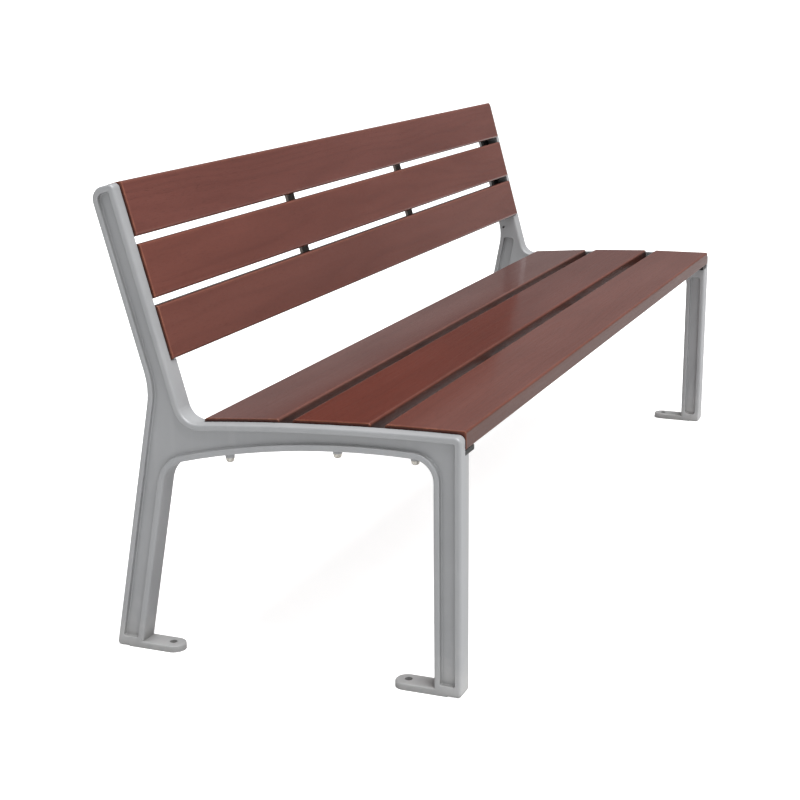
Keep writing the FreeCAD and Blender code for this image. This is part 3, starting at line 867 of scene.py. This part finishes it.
@dataclass
class Slats:
    """The three seat slats and the three back slats, each from its own board."""

    seat: tuple[str, ...] = ("front_seat_slat", "middle_seat_slat", "rear_seat_slat")
    back: tuple[str, ...] = ("bottom_back_slat", "middle_back_slat", "top_back_slat")
    seat_tones: tuple[tuple[Colour, Colour], ...] = (
        ((0.150, 0.040, 0.027), (0.098, 0.024, 0.015)),
        ((0.125, 0.023, 0.012), (0.078, 0.013, 0.006)),
        ((0.135, 0.048, 0.038), (0.086, 0.028, 0.022)),
    )
    # The back boards are paler than the seat boards: painted light making up for the weaker light
    # on the upright back.
    back_tones: tuple[tuple[Colour, Colour], ...] = (
        ((0.158, 0.050, 0.036), (0.108, 0.032, 0.023)),
        ((0.162, 0.049, 0.035), (0.110, 0.031, 0.022)),
        ((0.160, 0.050, 0.038), (0.108, 0.032, 0.024)),
    )
    pith_sides: tuple[float, ...] = (0.022, -0.031, 0.046, -0.012, 0.028, -0.04)
    pith_height: float = -0.085
    pith_step: float = 0.012
    board_spacing: float = 3.7

    def back_lean(self) -> float:
        """Measure the lean of the back rest.

        Returns:
            The lean from upright, in degrees.
        """
        low = sum(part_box(self.back[0]), Vector()) / 2
        high = sum(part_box(self.back[2]), Vector()) / 2
        return math.degrees(math.atan2(high.y - low.y, high.z - low.z))

    def seat_slope(self, index: int) -> float:
        """Return the slope of a seat slat, in degrees.

        Args:
            index: 0 for the front slat.

        Returns:
            The slope, positive where the rear is higher.
        """
        middles = [sum(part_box(name), Vector()) / 2 for name in self.seat]
        before = middles[max(index - 1, 0)]
        after = middles[min(index + 1, len(middles) - 1)]
        return math.degrees(math.atan2(after.z - before.z, after.y - before.y))

    def board(self, name: str, index: int, tilt: float, tones: tuple[Colour, Colour]) -> None:
        """Dress one slat in its own board.

        Args:
            name: The node's name.
            index: The board's number, which shifts its pattern.
            tilt: How far the board is turned about X.
            tones: Pale and dark shades.
        """
        centre = sum(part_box(name), Vector()) / 2
        finish = StainedTimber(
            name=f"stained_timber_{index + 1}",
            centre=tuple(centre),
            tilt=-tilt,
            pith=(self.pith_sides[index], self.pith_height - self.pith_step * (index % 3)),
            shift=self.board_spacing * index,
            pale=tones[0],
            dark=tones[1],
        )
        Bench.dress(name, finish.material(), finish.slot)

    def build(self) -> None:
        """Dress all six slats."""
        for index, name in enumerate(self.seat):
            self.board(name, index, self.seat_slope(index), self.seat_tones[index])
        upright = 90.0
        for index, name in enumerate(self.back):
            turn = upright - self.back_lean()
            self.board(name, index + len(self.seat), turn, self.back_tones[index])


@dataclass
class Bars:
    """The steel bearers under and behind the slat ends, and the straps between them."""

    # The bearers' near-black paint also stands in for the deep shade under and behind the slat
    # ends.
    bearer_paint: BarPaint = BarPaint()
    strap_paint: BarPaint = BarPaint(
        name="grey_paint_on_steel_bar",
        shade=(0.300, 0.265, 0.240),
        dark_shade=(0.225, 0.198, 0.178),
    )

    def build(self) -> None:
        """Dress all eight bars."""
        bearer = self.bearer_paint.material()
        strap = self.strap_paint.material()
        for end in End:
            for place in ("seat", "back"):
                Bench.dress(f"{end.value}_{place}_bearer", bearer, self.bearer_paint.slot)
                Bench.dress(f"{end.value}_{place}_strap", strap, self.strap_paint.slot)


@dataclass
class Fasteners:
    """Bolts and screws with their drive recesses, and the washers."""

    plate: ZincPlate = ZincPlate()
    hex_width: float = 0.005
    hex_depth: float = 0.0032
    cross_width: float = 0.0011
    cross_length: float = 0.0046
    cross_depth: float = 0.0016

    def axes(self, piece: bpy.types.Object) -> list[tuple[Vector, Vector]]:
        """Find the head of every fastener in a piece.

        Args:
            piece: A welded mesh of separate fasteners.

        Returns:
            For each, the middle of the head's outer face and the direction out of it.
        """
        work = bmesh.new()
        work.from_mesh(piece.data)
        left = set(work.verts)
        found = []
        while left:
            front = [left.pop()]
            island = list(front)
            while front:
                vertex = front.pop()
                for edge in vertex.link_edges:
                    other = edge.other_vert(vertex)
                    if other in left:
                        left.remove(other)
                        front.append(other)
                        island.append(other)
            points = np.array([v.co for v in island])
            middle = points.mean(axis=0)
            spread = np.linalg.eigh(np.cov((points - middle).T))
            way = spread[1][:, -1]
            along = (points - middle) @ way
            off = np.linalg.norm((points - middle) - np.outer(along, way), axis=1)
            if along[off.argmax()] < 0:
                way, along = -way, -along
            span = (points - middle) - np.outer(along, way)
            line = middle + (span.max(axis=0) + span.min(axis=0)) / 2
            found.append((Vector(line + way * along.max()), Vector(way)))
        work.free()
        return found

    def cutter(self, drive: Drive, place: Vector, way: Vector) -> bpy.types.Object:
        """Make the solid that a recess is cut with.

        Args:
            drive: The recess's kind.
            place: The middle of the head's face.
            way: The direction out of the head.

        Returns:
            The solid.
        """
        Bench.deselect()
        depth = self.hex_depth if drive is Drive.HEX else self.cross_depth
        if drive is Drive.HEX:
            bpy.ops.mesh.primitive_cylinder_add(
                vertices=6, radius=self.hex_width / math.sqrt(3), depth=2 * depth
            )
        else:
            bpy.ops.mesh.primitive_cube_add(size=1.0)
            bpy.ops.transform.resize(value=(self.cross_length, self.cross_width, 2 * depth))
            bpy.ops.object.transform_apply(location=False, rotation=False, scale=True)
            self.arms(bpy.context.object)
        solid = bpy.context.object
        turn = Vector((0, 0, 1)).rotation_difference(way).to_matrix().to_4x4()
        solid.data.transform(Matrix.Translation(place) @ turn @ solid.matrix_world)
        solid.matrix_world = Matrix.Identity(4)
        return solid

    def arms(self, solid: bpy.types.Object) -> None:
        """Add the second arm of a cross to its first.

        Args:
            solid: The first arm, lying along X.
        """
        work = bmesh.new()
        work.from_mesh(solid.data)
        cut = self.cross_width / 2
        for side in (-cut, cut):
            geometry = work.verts[:] + work.edges[:] + work.faces[:]
            bmesh.ops.bisect_plane(
                work, geom=geometry, plane_co=(side, 0, 0), plane_no=(1, 0, 0)
            )
        reach = self.cross_length / 2 - cut
        middle = [
            face
            for face in work.faces
            if abs(face.normal.y) > SQUARE_ON and abs(face.calc_center_median().x) < cut
        ]
        for face in middle:
            way = face.normal * reach
            made = bmesh.ops.extrude_face_region(work, geom=[face])
            moved = [item for item in made["geom"] if isinstance(item, bmesh.types.BMVert)]
            bmesh.ops.translate(work, vec=way, verts=moved)
        bmesh.ops.delete(work, geom=[f for f in middle if f.is_valid], context="FACES_ONLY")
        work.to_mesh(solid.data)
        work.free()

    def recess(self, node: str, drive: Drive, material: bpy.types.Material) -> None:
        """Rebuild a node of fasteners with recesses in their heads.

        Args:
            node: The node's name.
            drive: The recess's kind.
            material: The finish.
        """
        piece = Bench.welded_copy(node, f"{node}_{drive.value}")
        heads = self.axes(piece)
        cutters = [self.cutter(drive, place, way) for place, way in heads]
        for solid in cutters:
            Bench.deselect()
            bpy.context.view_layer.objects.active = piece
            piece.select_set(True)
            cut = piece.modifiers.new("recess", "BOOLEAN")
            cut.operation = "DIFFERENCE"
            cut.solver = "EXACT"
            cut.object = solid
            bpy.ops.object.modifier_apply(modifier=cut.name)
            bpy.data.objects.remove(solid)
        Bench.deselect()
        piece.select_set(True)
        bpy.context.view_layer.objects.active = piece
        bpy.ops.object.shade_smooth_by_angle(angle=math.radians(SMOOTH_ANGLE))
        piece.data.materials.clear()
        piece.data.materials.append(material)
        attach(piece, "root")
        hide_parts(node)
        LOG.info("%s has %d heads with %s recesses", piece.name, len(heads), drive.value)

    def build(self) -> None:
        """Rebuild the bolts and screws, and dress the washers."""
        material = self.plate.material()
        for end in End:
            self.recess(f"{end.value}_seat_bolts", Drive.HEX, material)
            self.recess(f"{end.value}_back_bolts", Drive.HEX, material)
            self.recess(f"{end.value}_seat_strap_screws", Drive.CROSS, material)
            self.recess(f"{end.value}_back_strap_screws", Drive.CROSS, material)
            Bench.dress(f"{end.value}_seat_bolt_washers", material, self.plate.slot)
            Bench.dress(f"{end.value}_back_bolt_washers", material, self.plate.slot)


# ---------------------------------------------------------------- surroundings


@dataclass
class Studio:
    """The pale floor, the soft light and the camera."""

    floor_size: float = 400.0
    floor_shade: Colour = (0.74, 0.74, 0.74)
    floor_glow: float = 0.72
    floor_roughness: float = 0.9
    floor_patch: float = 0.985
    horizon: float = 0.23
    zenith: float = 0.48
    sun: float = 3.8
    sun_angle: float = 45.0
    sun_aim: Triple = (0.04, 0.36, -0.93)
    eye: Triple = (-3.0675, -1.1184, 1.0978)
    heading: float = 69.419
    pitch: float = 16.398
    roll: float = -0.058
    lens: float = 71.678
    film_width: float = 36.0
    shift: tuple[float, float] = (-0.0683, 0.0590)

    def floor(self) -> None:
        """Lay the floor. Its glow is seen by the camera alone and lights nothing."""
        Bench.deselect()
        bpy.ops.mesh.primitive_plane_add(size=self.floor_size)
        floor = bpy.context.object
        floor.name = "floor"
        material = bpy.data.materials.new("pale_floor")
        material.use_nodes = True
        graph = Graph(material.node_tree)
        material.node_tree.nodes.clear()
        shader = graph.add("ShaderNodeBsdfPrincipled", {"Roughness": self.floor_roughness})
        graph.add("ShaderNodeOutputMaterial", {"Surface": shader.outputs["BSDF"]})
        place = graph.add("ShaderNodeTexCoord").outputs["Object"]
        tone = graph.span(graph.noise(place, 0.7, 3.0), 0.3, 0.7)
        darker = tuple(self.floor_patch * c for c in self.floor_shade)
        colour = graph.blend(tone, darker, self.floor_shade)
        graph.tree.links.new(colour, shader.inputs["Base Color"])
        shader.inputs["Emission Color"].default_value = WHITE
        seen = graph.add("ShaderNodeLightPath").outputs["Is Camera Ray"]
        glow = graph.math("MULTIPLY", seen, self.floor_glow)
        graph.tree.links.new(glow, shader.inputs["Emission Strength"])
        floor.data.materials.append(material)
        LOG.info("floor laid")

    def light(self) -> None:
        """Hang the light: a sky brightest overhead, and one broad source above.

        The source leans a little to the front. To the camera itself the sky is white.
        """
        world = bpy.data.worlds.new("studio_sky")
        bpy.context.scene.world = world
        world.use_nodes = True
        graph = Graph(world.node_tree)
        way = graph.add("ShaderNodeTexCoord").outputs["Generated"]
        height = graph.add("ShaderNodeSeparateXYZ", {0: way}).outputs["Z"]
        sky = world.node_tree.nodes["Background"]
        sky.inputs["Color"].default_value = WHITE
        strength = graph.span(height, 0.0, 0.8, self.horizon, self.zenith)
        seen = graph.add("ShaderNodeLightPath").outputs["Is Camera Ray"]
        strength = graph.math("MAXIMUM", strength, seen)
        graph.tree.links.new(strength, sky.inputs["Strength"])
        lamp = bpy.data.lights.new("key", "SUN")
        lamp.energy = self.sun
        lamp.angle = math.radians(self.sun_angle)
        key = bpy.data.objects.new("key", lamp)
        bpy.context.scene.collection.objects.link(key)
        key.rotation_euler = Vector(self.sun_aim).to_track_quat("-Z", "Y").to_euler()
        LOG.info("light hung")

    def camera(self) -> None:
        """Set the camera up."""
        data = bpy.data.cameras.new("camera")
        data.lens = self.lens
        data.sensor_width = self.film_width
        data.shift_x, data.shift_y = self.shift
        camera = bpy.data.objects.new("camera", data)
        bpy.context.scene.collection.objects.link(camera)
        yaw, pitch, roll = (math.radians(a) for a in (self.heading, self.pitch, self.roll))
        ahead = Vector(
            (math.sin(yaw) * math.cos(pitch), math.cos(yaw) * math.cos(pitch), -math.sin(pitch))
        )
        right = Vector((math.cos(yaw), -math.sin(yaw), 0.0))
        up = right.cross(ahead)
        level = right * math.cos(roll) + up * math.sin(roll)
        above = up * math.cos(roll) - right * math.sin(roll)
        turn = Matrix((level, above, -ahead)).transposed().to_4x4()
        camera.matrix_world = Matrix.Translation(self.eye) @ turn
        bpy.context.scene.camera = camera
        LOG.info("camera set")

    def build(self) -> None:
        """Build the surroundings."""
        self.floor()
        self.light()
        self.camera()
        bpy.context.scene.view_settings.view_transform = "Standard"


def main() -> None:
    """Build the bench's looks in order, then its surroundings."""
    logging.basicConfig(level=logging.INFO, format="%(message)s")
    for part in (EndFrames(), Slats(), Bars(), Fasteners(), Studio()):
        part.build()


if __name__ == "__main__":
    main()
